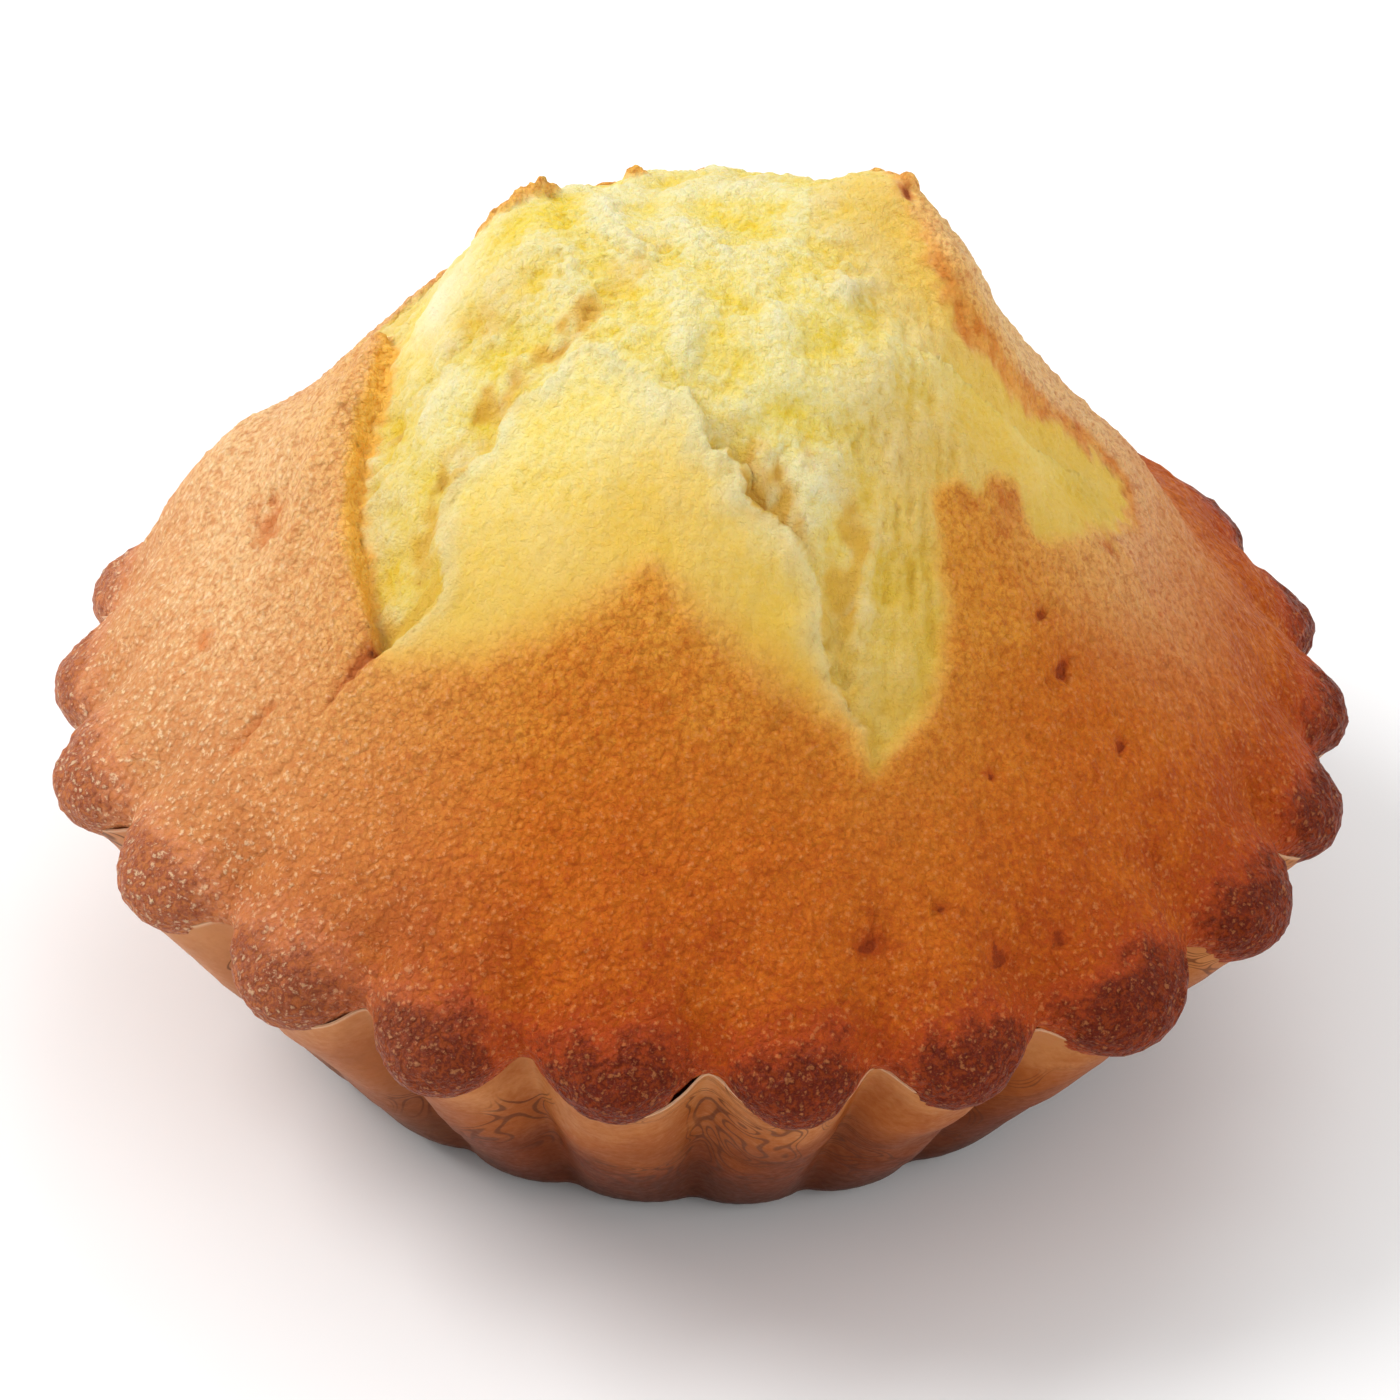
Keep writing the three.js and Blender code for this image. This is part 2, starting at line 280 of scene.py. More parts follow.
def eased(knots, x):
    """Height at x on a smooth curve through the knots."""
    xs, ys = np.array(knots, float).T
    slopes = np.gradient(ys, xs)
    i = np.clip(np.searchsorted(xs, x) - 1, 0, len(xs) - 2)
    span = xs[i + 1] - xs[i]
    t = (x - xs[i]) / span
    start = ys[i] * (1 + 2 * t) + slopes[i] * span * t
    end = ys[i + 1] * (3 - 2 * t) + slopes[i + 1] * span * (t - 1)
    return start * (1 - t) ** 2 + end * t ** 2


def turned_body(name, columns, stations):
    """A disc that is extruded ring by ring, through stations of radius and height."""
    deselect_everything()
    (radius, height), *rest = stations
    bpy.ops.mesh.primitive_circle_add(
        vertices=columns, radius=radius * MM, fill_type="NGON",
        location=(0, 0, height * MM), rotation=(0, 0, 0),
    )
    piece = bpy.context.object
    piece.name = name
    bpy.ops.object.transform_apply(location=True, rotation=True, scale=True)
    bpy.ops.object.mode_set(mode="EDIT")
    bpy.ops.mesh.select_all(action="SELECT")
    for next_radius, next_height in rest:
        rise = (next_height - height) * MM
        bpy.ops.mesh.extrude_region_move(TRANSFORM_OT_translate={"value": (0, 0, rise)})
        grow = next_radius / radius
        bpy.ops.transform.resize(value=(grow, grow, 1), center_override=(0, 0, 0))
        radius, height = next_radius, next_height
    bpy.ops.mesh.select_all(action="SELECT")
    bpy.ops.mesh.normals_make_consistent(inside=False)
    bpy.ops.object.mode_set(mode="OBJECT")
    return piece


def columns_of(points, columns):
    """The column of each point, counted from the crown of the first flute."""
    azimuth = np.arctan2(points[:, 0], -points[:, 1])
    return np.round(azimuth / math.tau * columns).astype(int) % columns


def press_flutes(piece, steps, stations):
    """Draws each ring in at the folds: stations give crown and fold radius and height."""
    columns = FLUTES * steps
    points = points_of(piece)
    phase = columns_of(points, columns) % steps
    phase = np.minimum(phase, steps - phase)
    for crown_radius, crown_height, fold_radius, fold_height in stations:
        ring = np.abs(points[:, 2] - crown_height) < 0.02
        for step in range(1, steps // 2 + 1):
            share = (1 - math.cos(math.pi * step / steps)) ** ROUND_CROWNS
            factor = 1 + (fold_radius / crown_radius - 1) * share
            lift = (fold_height - crown_height) * share * MM
            choose(piece, ring & (phase == step))
            bpy.ops.transform.resize(value=(factor, factor, 1), center_override=(0, 0, 0))
            bpy.ops.transform.translate(value=(0, 0, lift))
    bpy.ops.object.mode_set(mode="OBJECT")


def space_flutes(piece, steps):
    """Turns each column a little, so that the flutes are as uneven as folded ones."""
    columns = FLUTES * steps
    column = columns_of(points_of(piece), columns)
    for number in range(columns):
        azimuth = FIRST_FLUTE + number / columns * math.tau
        drift = sum(s * math.sin(k * azimuth) + c * math.cos(k * azimuth) for k, s, c in FLUTE_DRIFT)
        turn = FIRST_FLUTE + math.radians(drift)
        choose(piece, column == number)
        bpy.ops.transform.rotate(value=-turn, orient_axis="Z", center_override=(0, 0, 0))
    bpy.ops.object.mode_set(mode="OBJECT")


def vary_lobes(piece):
    """Makes every lobe a little longer, shorter, higher or lower than its neighbours."""
    points = points_of(piece)
    phase = columns_of(points, FLUTES * CAKE_STEPS)
    flute = (phase + CAKE_STEPS // 2) // CAKE_STEPS % FLUTES
    on_crown = (phase + CAKE_STEPS // 2) % CAKE_STEPS != 0
    on_lobe = np.abs(points[:, 2] - RIM_HEIGHT - 1) < 3.5
    middle, spread, drop, shrink = SMALL_LOBES
    for number in range(FLUTES):
        away = (FIRST_FLUTE + number / FLUTES * math.tau - middle) % math.tau
        small = math.exp(-(min(away, math.tau - away) / spread) ** 2)
        grow = 1 + random.uniform(*LOBE_GROWTH) - shrink * small
        rise = random.uniform(*LOBE_RISE) - drop * small
        choose(piece, on_lobe & on_crown & (flute == number))
        bpy.ops.transform.resize(value=(grow, grow, 1), center_override=(0, 0, 0))
        bpy.ops.transform.translate(value=(0, 0, rise * MM))
    bpy.ops.object.mode_set(mode="OBJECT")


def swell(piece, x, y, rise, reach):
    """Pulls the skin up or down around one point, with a soft falloff."""
    points = points_of(piece)
    above = points[:, 2] > BURST_FLOOR
    distance = np.where(above, np.hypot(points[:, 0] - x, points[:, 1] - y), np.inf)
    choose(piece, distance == distance.min())
    bpy.ops.transform.translate(
        value=(0, 0, rise * MM), use_proportional_edit=True,
        proportional_edit_falloff="SMOOTH", proportional_size=reach * MM,
    )
    bpy.ops.object.mode_set(mode="OBJECT")


def apply_modifier(piece, kind, **settings):
    """Adds one modifier with its settings and applies it."""
    deselect_everything()
    piece.select_set(True)
    bpy.context.view_layer.objects.active = piece
    modifier = piece.modifiers.new(kind.lower(), kind)
    for name, value in settings.items():
        setattr(modifier, name, value)
    bpy.ops.object.modifier_apply(modifier=modifier.name)


def subdivide(piece, levels):
    apply_modifier(piece, "SUBSURF", levels=levels, render_levels=levels)


def weigh(piece, name, weights):
    """A vertex group that holds one weight from 0 to 1 for each point."""
    group = piece.vertex_groups.get(name) or piece.vertex_groups.new(name=name)
    levels = np.round(np.clip(weights, 0, 1) * 255).astype(int)
    for level in np.unique(levels):
        if level:
            members = np.nonzero(levels == level)[0].tolist()
            group.add(members, float(level) / 255, "REPLACE")
    return name


def shift(piece, name, heights, direction="Z"):
    """Moves each point by its own height, raised parts first, then sunk ones."""
    for part, sign in (("raised", 1), ("sunk", -1)):
        amount = np.maximum(sign * heights, 0)
        if amount.max() > 0.001:
            group = weigh(piece, f"{name}_{part}", amount / amount.max())
            apply_modifier(
                piece, "DISPLACE", direction=direction, mid_level=0,
                strength=sign * amount.max() * MM, vertex_group=group,
            )


def roughen(piece, relief):
    """Moves the points of one vertex group along their normals by cloudy noise."""
    name, group, size, layers, strength = relief
    texture = bpy.data.textures.new(name, "CLOUDS")
    texture.noise_scale = size * MM
    texture.noise_depth = layers
    texture.noise_basis = CELLULAR.get(name, "BLENDER_ORIGINAL")
    apply_modifier(
        piece, "DISPLACE", direction="NORMAL", texture=texture, mid_level=0.5,
        strength=strength * MM, vertex_group=group, texture_coords="LOCAL",
    )


def store(piece, name, values):
    """Keeps one number for each point, for the material to read."""
    attribute = piece.data.attributes.new(name, "FLOAT", "POINT")
    attribute.data.foreach_set("value", np.asarray(values, np.float32))


# ---------------------------------------------------------------- outlines on the dome

def traced(corners, closed, samples=8):
    """Points on a smooth curve through the corners, with every column eased along it."""
    corners = np.array(corners, float)
    count = len(corners)
    spans = range(count if closed else count - 1)
    rows = []
    for i in spans:
        before, here, there, after = (
            corners[j % count] if closed else corners[min(max(j, 0), count - 1)]
            for j in (i - 1, i, i + 1, i + 2)
        )
        for t in np.arange(samples) / samples:
            rows.append(0.5 * (
                2 * here + (there - before) * t
                + (2 * before - 5 * here + 4 * there - after) * t ** 2
                + (3 * here - before - 3 * there + after) * t ** 3
            ))
    rows.append(rows[0] if closed else corners[-1])
    return np.array(rows)


def nearest_on(curve, x, y):
    """Distance from each point to a curve, and the curve's other columns there."""
    best = np.full(x.shape, np.inf)
    extra = np.zeros((len(x), curve.shape[1] - 2))
    for a, b in zip(curve[:-1], curve[1:]):
        run = b[:2] - a[:2]
        along = ((x - a[0]) * run[0] + (y - a[1]) * run[1]) / max(run @ run, 1e-9)
        along = np.clip(along, 0, 1)
        distance = np.hypot(x - a[0] - along * run[0], y - a[1] - along * run[1])
        closer = distance < best
        best[closer] = distance[closer]
        extra[closer] = a[2:] + along[closer, None] * (b[2:] - a[2:])
    return best, extra


def encloses(curve, x, y):
    inside = np.zeros(x.shape, bool)
    for a, b in zip(curve[:-1], curve[1:]):
        if a[1] != b[1]:
            crossing = a[0] + (b[0] - a[0]) * (y - a[1]) / (b[1] - a[1])
            inside ^= ((a[1] > y) != (b[1] > y)) & (x < crossing)
    return inside


def waver(points, size, seed):
    """Smooth noise between -1 and 1 for each point."""
    shift_by = Vector((seed * 17.3, seed * 5.1, seed * 9.7))
    return np.array([noise.noise(Vector(p) / size + shift_by) for p in points])


def blob(x, y, middle_x, middle_y, radius_x, radius_y, turn=0.0):
    """1 in the middle of a soft ellipse, 0 outside it."""
    c, s = math.cos(math.radians(turn)), math.sin(math.radians(turn))
    dx, dy = x - middle_x, y - middle_y
    reach = ((dx * c + dy * s) / radius_x) ** 2 + ((dy * c - dx * s) / radius_y) ** 2
    return np.exp(-reach)


# ---------------------------------------------------------------- the cake

def thin_columns(piece, columns, inside):
    """Joins the points of the rings inside a radius in pairs, so they don't crowd at the pole."""
    points = points_of(piece)
    radius = np.hypot(points[:, 0], points[:, 1])
    turns = np.arctan2(points[:, 0], -points[:, 1]) / math.tau % 1
    pair = np.floor(turns * columns + 0.25).astype(int) % columns // 2
    ends = np.array([edge.vertices for edge in piece.data.edges])
    first, second = ends.T
    same_ring = np.abs(points[first, 2] - points[second, 2]) < 0.001
    joined = same_ring & (pair[first] == pair[second]) & (radius[first] < inside)
    joined &= points[first, 2] > RIM_HEIGHT
    choose(piece, np.zeros(len(points), bool))
    bpy.ops.mesh.select_mode(type="EDGE")
    bpy.ops.object.mode_set(mode="OBJECT")
    piece.data.edges.foreach_set("select", joined)
    bpy.ops.object.mode_set(mode="EDIT")
    bpy.ops.mesh.merge(type="COLLAPSE")
    bpy.ops.mesh.select_mode(type="VERT")
    bpy.ops.object.mode_set(mode="OBJECT")


def cake_cage():
    """The cake as a coarse mesh: flat base, fluted wall, lobes and dome."""
    lobes = [(row[0], RIM_HEIGHT + row[1]) for row in LOBE]
    dome_radii = np.arange(LOBE[-1][0] - RING_SPACING, POLE_RADIUS, -RING_SPACING)
    dome = [(radius, RIM_HEIGHT + float(eased(DOME, radius))) for radius in dome_radii]
    for i in range(1, len(dome)):
        dome[i] = (dome[i][0], max(dome[i][1], dome[i - 1][1] + RING_STEP))
    columns = FLUTES * CAKE_STEPS
    piece = turned_body("madeleine_cake", columns, [*CAKE_WALL, *lobes, *dome])
    for halvings, radius in enumerate(THINNED_INSIDE):
        thin_columns(piece, columns // 2 ** halvings, radius)
    folds = [
        (radius, height, CAKE_FOLD_RADIUS + CAKE_FOLD_SPREAD * height, height)
        for radius, height in CAKE_WALL[1:]
    ]
    folds += [(a, RIM_HEIGHT + b, c, RIM_HEIGHT + d) for a, b, c, d in LOBE]
    press_flutes(piece, CAKE_STEPS, folds)
    vary_lobes(piece)
    space_flutes(piece, CAKE_STEPS)
    for x, y, rise, reach in SWELLS:
        swell(piece, x, y, rise, reach)
    return piece


class Burst:
    """The torn opening: how each point of the dome lies to its lips, tongue and tears."""

    def __init__(self, points):
        self.points = points
        self.x, self.y, self.z = points.T
        self.top = self.z > BURST_FLOOR
        self.fine = waver(points, 0.75, 1)
        self.ragged = 0.45 * self.fine + 0.4 * waver(points, 2.0, 2)
        self.find_lips()
        self.find_tongue()
        self.height = np.zeros_like(self.x)
        self.shape_lips()
        self.shape_tongue()
        self.tear_crumb()
        self.crease_crust()
        self.sink_pits()
        self.raise_flakes()

    def find_lips(self):
        """Distance inwards from the lip, the browned band along it and the crumb inside that."""
        opening = traced(OPENING, closed=True)
        distance, edge = nearest_on(opening, self.x, self.y)
        softness, self.step, self.band = edge.T
        inner = np.where(encloses(opening, self.x, self.y) & self.top, distance, -distance)
        wander = 1.3 * waver(self.points, 3.5, 8) * smoothstep(6, 11, self.y)
        self.inner = np.where(self.top, inner + 0.45 * self.ragged + wander, FAR_OUTSIDE)
        fray = np.where(self.x > 0, 1.1, 0.4) * self.ragged * (self.band > 0.1)
        self.crumb_edge = self.inner - self.band + fray
        self.crumb = smoothstep(-softness, softness, self.crumb_edge)
        self.lipped = smoothstep(0.3, 1.2, self.band)
        self.lip = self.lipped * smoothstep(-0.2, 0.5, self.inner)
        self.lip = self.lip * (1 - smoothstep(-0.3, 0.5, self.crumb_edge))

    def find_tongue(self):
        """Distance behind the torn edge of the tongue, negative on the tongue."""
        torn = traced(TORN_EDGE, closed=False)
        behind, size = nearest_on(torn, self.x, self.y)
        self.tear_step = size[:, 0]
        front = np.vstack([torn, TONGUE_FRONT, torn[:1]])
        self.tongue = encloses(front, self.x, self.y) & self.top
        behind = np.where(self.tongue, -behind, behind) + 0.8 * self.ragged
        self.behind = np.where(self.top, behind, -FAR_OUTSIDE)

    def shape_lips(self):
        """A step down from the crust to the crumb, and a low rim on the crust outside it."""
        wall = np.where(self.x > RIGHT_SIDE, RIGHT_LIP_SLOPE, np.maximum(self.band, 0.8))
        return_slope = np.exp(-(np.maximum(self.inner - wall, 0) / 2.4) ** 2)
        self.height += -self.step * smoothstep(0, 1, self.inner / wall) * return_slope
        rim = np.exp(-((self.inner + 0.7) / 1.0) ** 2)
        self.height += 0.35 * self.step * rim * (1 + 0.5 * self.fine)

    def shape_tongue(self):
        """The tongue's edge lifts a little, and the crumb drops behind it."""
        behind = self.behind
        lift = 0.35 * np.exp(-(np.minimum(behind, 0) / 2.6) ** 2) * (1 - smoothstep(0, 0.6, behind))
        drop = 0.75 * smoothstep(0, 0.6, behind) * np.exp(-(np.maximum(behind, 0) / 2.4) ** 2)
        self.height += self.crumb * self.tear_step * (lift - drop)

    def tear_crumb(self):
        """Broken grooves along the tears, the painted shade inside them, and the painted highlight on
        the torn edge.
        """
        broken = np.clip(0.75 + 0.8 * waver(self.points, 1.4, 3), 0.2, 1.1)
        crumb = self.crumb * self.top
        self.height -= 0.55 * self.along(TEARS, 0.55 * self.ragged) * broken * crumb
        patchy = np.clip(0.8 + 1.1 * waver(self.points, 1.1, 5), 0.1, 1.2)
        # Painted shade inside the tears, patchy
        self.shaded = self.along(TEARS, 1.3 * self.ragged - 0.45) * crumb * patchy
        # Painted highlight along the torn edge of the tongue
        self.torn_edge_highlight = crumb * self.tongue * np.exp(-(self.behind / 1.1) ** 2)

    def crease_crust(self):
        """Thin cracks and low folds of the crust beside the burst."""
        self.crease = self.along(CREASES, 0.45 * self.ragged) * self.top
        folds = self.along(FOLDS, 0.2 * self.ragged) * self.top * (1 - self.crumb)
        self.height += folds - self.crease

    def along(self, routes, wander):
        """Depth of the deepest of several grooves at each point."""
        deepest = np.zeros_like(self.x)
        for route in routes:
            away, size = nearest_on(traced(route, closed=False), self.x, self.y)
            away = np.maximum(away + wander, 0)
            deepest = np.maximum(deepest, size[:, 1] * np.exp(-(away / size[:, 0]) ** 2))
        return deepest

    def sink_pits(self):
        """Ragged scorched pits, about round on the slope of the dome."""
        # Scorched spots; painted shade in the crust's cracks joins them in fields()
        self.scorch_and_crease_shade = np.zeros_like(self.x)
        for spot_x, spot_y, radius, depth, strength in SPOTS:
            out = Vector((spot_x, spot_y)).normalized()
            downhill = (self.x - spot_x) * out.x + (self.y - spot_y) * out.y
            sideways = (self.y - spot_y) * out.x - (self.x - spot_x) * out.y
            away = np.hypot(PIT_STRETCH * downhill, sideways) / radius
            away = np.maximum(away * (1 + 0.7 * self.ragged) + 0.4 * self.fine, 0)
            dip = np.exp(-away ** 2) * (self.z > RIM_HEIGHT + 2)
            self.height -= depth * dip
            self.scorch_and_crease_shade = np.maximum(self.scorch_and_crease_shade, strength * dip)

    def raise_flakes(self):
        """Flakes of crust stand up from the crumb."""
        for flake_x, flake_y, radius, rise in FLAKES:
            away = np.hypot(self.x - flake_x, self.y - flake_y) / radius + 0.5 * self.fine
            self.height += rise * (1 + 0.7 * self.ragged) * np.exp(-away ** 4) * self.top
            self.crumb *= 1 - np.exp(-(away / 1.1) ** 6) * self.top

    def silky(self):
        """The crumb that stretched and didn't tear: tongue, right wing, right lip and top left."""
        right_lip = (self.x > RIGHT_SIDE) * self.lipped
        smooth = np.maximum.reduce([
            0.82 * smoothstep(0.1, 2.0, -self.behind) * self.tongue,
            blob(self.x, self.y, *SILKY_WING),
            right_lip * np.exp(-(np.maximum(self.inner, 0) / 4.5) ** 2),
            0.9 * blob(self.x, self.y, *SILKY_TOP_LEFT),
        ])
        return self.crumb * np.clip(smooth, 0, 1)

    def near_soft_edge(self):
        """How close each point lies to a soft edge between crust and crumb, from 0 to 1."""
        soft = self.band < 0.5
        within = (1 - smoothstep(0, 9, self.crumb_edge)) * (soft | (self.x > RIGHT_SIDE))
        # Painted shade: deeper yellow in the hollow at the top left
        within = within + 0.4 * blob(self.x, self.y, *DEEP_YELLOW_LEFT)
        reach = np.where(self.x < -10, 5.0, 2.5)
        beside = np.exp(np.minimum(self.crumb_edge, 0) / reach) * (soft | (self.x < RIGHT_SIDE))
        near = np.where(self.crumb_edge > 0, within, beside)
        return near * self.top * (1 - smoothstep(2, 12, self.y))

    def fields(self):
        """The numbers that the relief and the finish read."""
        streaked = np.clip(sum(blob(self.x, self.y, *place) for place in STREAKED), 0, 1)
        return {
            "crumb": self.crumb, "lip": np.clip(self.lip, 0, 1),
            "tear_shade": np.clip(self.shaded / 1.5, 0, 1), "smooth": self.silky(),
            # Scorched spots with painted shade in the crust's cracks added
            "streaked": self.crumb * streaked, "scorch_and_crease_shade": np.clip(self.scorch_and_crease_shade + 1.1 * self.crease, 0, 1),
            "near": self.near_soft_edge(), "torn_edge_highlight": self.torn_edge_highlight,
        }


def add_relief(piece, fields):
    """Open crumb inside the tear and a fine grain on the crust."""
    before = points_of(piece)
    across = normals_of(piece)
    patchy = 0.25 + 0.75 * smoothstep(-0.1, 0.4, waver(before, 4.5, 7))
    rough = fields["crumb"] * (1 - 0.93 * fields["smooth"])
    rough = rough * (1 - 0.5 * fields["streaked"])
    weigh(piece, "lumpy_crumb", rough)
    weigh(piece, "open_crumb", rough * patchy)
    weigh(piece, "any_crumb", fields["crumb"])
    weigh(piece, "crust", (1 - fields["crumb"]) * smoothstep(15, 21, before[:, 2]))
    for relief in CRUMB_RELIEF:
        roughen(piece, relief)
    streaks = waver(before * (1, 0.2, 0.2), 0.5, 9) * fields["streaked"]
    shift(piece, "streaks", STREAK_HEIGHT * streaks, "NORMAL")
    for relief in CRUST_RELIEF:
        roughen(piece, relief)
    return np.einsum("ij,ij->i", points_of(piece) - before, across)


def make_cake():
    """The whole cake: its coarse mesh is rounded, torn open and given its relief."""
    piece = cake_cage()
    subdivide(piece, 2)
    burst = Burst(points_of(piece))
    shift(piece, "burst", burst.height)
    fields = burst.fields()
    fields["relief"] = add_relief(piece, fields)
    points = points_of(piece)
    radius = np.hypot(points[:, 0], points[:, 1])
    scorch = 0.9 * waver(points, 1.6, 4) + 0.6 * waver(points, 5.0, 6)
    fields["lobe"] = smoothstep(35.6, 39.4, radius + scorch)
    for name in FIELDS:
        store(piece, name, fields[name])
    deselect_everything()
    piece.select_set(True)
    bpy.context.view_layer.objects.active = piece
    bpy.ops.object.shade_smooth()
    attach(piece, "root")
    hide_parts("cake")
    return piece


# ---------------------------------------------------------------- the paper case

def make_case():
    """The fluted case as one thin sheet with a flat floor and an uneven top edge."""
    spread = RIM_RADIUS - BASE_RADIUS
    wall = [(BASE_RADIUS + level * spread, level * RIM_HEIGHT) for level in CASE_LEVELS]
    wall[0] = (BASE_RADIUS - BASE_ROUNDING, 0.0)
    piece = turned_body("fluted_paper_case", FLUTES * CASE_STEPS, wall)
    choose(piece, points_of(piece)[:, 2] > RIM_HEIGHT - 0.01)
    bpy.ops.mesh.delete(type="ONLY_FACE")
    bpy.ops.object.mode_set(mode="OBJECT")
    folds = []
    for radius, height in wall[1:]:
        share = height / RIM_HEIGHT
        depth = FOLD_DEPTH_AT_BASE + (FOLD_DEPTH_AT_RIM - FOLD_DEPTH_AT_BASE) * share
        folds.append((radius, height, radius - depth, height + FOLD_RISE * share))
    press_flutes(piece, CASE_STEPS, folds)
    droop_rim(piece)
    space_flutes(piece, CASE_STEPS)
    subdivide(piece, 2)
    points = points_of(piece)
    edge = np.zeros(len(points))
    edge[rim_points(piece)] = 1
    weigh(piece, "creased", smoothstep(2, 8, points[:, 2]))
    roughen(piece, PAPER_CREASES)
    # Marks the paper's top edge, where the finish paints a highlight
    store(piece, "edge", edge)
    apply_modifier(piece, "SOLIDIFY", thickness=PAPER_THICKNESS * MM, offset=-1)
    deselect_everything()
    piece.select_set(True)
    bpy.context.view_layer.objects.active = piece
    bpy.ops.object.shade_smooth_by_angle(angle=math.radians(50))
    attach(piece, "root")
    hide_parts("paper_case")
    return piece


def rim_points(piece):
    """Points on the open top edge of the sheet."""
    mesh = piece.data
    used = np.zeros(len(mesh.edges), int)
    for loop in mesh.loops:
        used[loop.edge_index] += 1
    open_edges = [mesh.edges[i].vertices for i in np.nonzero(used == 1)[0]]
    return sorted({point for pair in open_edges for point in pair})


def droop_rim(piece):
    """Lowers the top edge at the crowns, where the lobes hang over it, and varies the folds."""
    column = columns_of(points_of(piece), FLUTES * CASE_STEPS)
    on_rim = np.zeros(len(column), bool)
    on_rim[rim_points(piece)] = True
    for flute in range(FLUTES):
        for step in range(CASE_STEPS):
            foldness = (1 - math.cos(math.tau * step / CASE_STEPS)) / 2
            uneven = 0.5 * math.sin(2.4 * flute + 0.6) + 0.35 * math.sin(5.1 * flute)
            lift = foldness * (uneven - FOLD_DROP) - RIM_DROOP * (1 - foldness)
            tuck = 1 - RIM_TUCK * (1 - foldness ** 2)
            choose(piece, on_rim & (column == flute * CASE_STEPS + step))
            bpy.ops.transform.translate(value=(0, 0, lift * MM))
            bpy.ops.transform.resize(value=(tuck, tuck, 1), center_override=(0, 0, 0))
    bpy.ops.object.mode_set(mode="OBJECT")


# ---------------------------------------------------------------- materials

class Value:
    """A socket that works in sums like a number."""

    def __init__(self, finish, socket):
        self.finish = finish
        self.socket = socket

    def math(self, operation, first, second=None, **settings):
        sockets = {0: first} if second is None else {0: first, 1: second}
        return self.finish.node("ShaderNodeMath", {"operation": operation, **settings}, sockets)

    def __add__(self, other):
        return self.math("ADD", self, other)

    def __radd__(self, other):
        return self.math("ADD", other, self)

    def __sub__(self, other):
        return self.math("SUBTRACT", self, other)

    def __rsub__(self, other):
        return self.math("SUBTRACT", other, self)

    def __mul__(self, other):
        return self.math("MULTIPLY", self, other)

    def __rmul__(self, other):
        return self.math("MULTIPLY", other, self)

    def __truediv__(self, other):
        return self.math("DIVIDE", self, other)

    def clamped(self):
        """The same value, held between 0 and 1."""
        return self.math("ADD", self, 0.0, use_clamp=True)

    def unsigned(self):
        return self.math("ABSOLUTE", self)

    def between(self, low, high):
        """0 below low, 1 above high, and smooth in between."""
        settings = {"interpolation_type": "SMOOTHSTEP"}
        sockets = {"Value": self, "From Min": low, "From Max": high}
        return self.finish.node("ShaderNodeMapRange", settings, sockets)


def paint(red, green, blue):
    """A colour from its everyday 0 to 255 values."""
    def linear(part):
        part /= 255
        return part / 12.92 if part <= 0.04045 else ((part + 0.055) / 1.055) ** 2.4
    return (linear(red), linear(green), linear(blue), 1.0)


class Finish:
    """One material, built node by node onto its surface shader."""

    def __init__(self, name, **constants):
        self.material = bpy.data.materials.new(name)
        self.material.use_nodes = True
        self.tree = self.material.node_tree
        self.surface = self.tree.nodes["Principled BSDF"]
        for socket, value in constants.items():
            self.surface.inputs[socket.replace("_", " ")].default_value = value

    def node(self, kind, settings=None, sockets=None, output=0):
        node = self.tree.nodes.new(kind)
        settings = dict(settings or {})
        stops = settings.pop("stops", None)
        for name, value in settings.items():
            setattr(node, name, value)
        if stops:
            ramp = node.color_ramp
            while len(ramp.elements) < len(stops):
                ramp.elements.new(0.5)
            for element, (position, colour) in zip(ramp.elements, stops):
                element.position = position
                element.color = colour
        for name, value in (sockets or {}).items():
            if isinstance(value, Value):
                self.tree.links.new(value.socket, node.inputs[name])
            else:
                node.inputs[name].default_value = value
        return Value(self, node.outputs[output])

    def attribute(self, name):
        return self.node("ShaderNodeAttribute", {"attribute_name": name}, output="Fac")

    def place(self):
        return self.node("ShaderNodeTexCoord", output="Object")

    def position(self, axis):
        """Distance along one axis of the piece, in metres."""
        return self.node("ShaderNodeSeparateXYZ", {}, {0: self.place()}, axis)

    def grain(self, size, detail=2.0, roughness=0.5, distortion=0.0):
        """Cloudy noise with features of a size in millimetres."""
        sockets = {
            "Vector": self.place(), "Scale": 1 / (size * MM), "Detail": detail,
            "Roughness": roughness, "Distortion": distortion,
        }
        return self.node("ShaderNodeTexNoise", {}, sockets, "Fac")

    def mix(self, amount, first, second):
        settings = {"data_type": "RGBA", "blend_type": "MIX", "clamp_factor": True}
        return self.node("ShaderNodeMix", settings, {0: amount, 6: first, 7: second}, 2)

    def ramp(self, value, *stops):
        return self.node("ShaderNodeValToRGB", {"stops": stops}, {"Fac": value}, "Color")

    def bump(self, height, distance, strength=1.0):
        sockets = {"Height": height, "Distance": distance * MM, "Strength": strength}
        return self.node("ShaderNodeBump", {}, sockets, "Normal")

    def feed(self, socket, value):
        self.tree.links.new(value.socket, self.surface.inputs[socket])


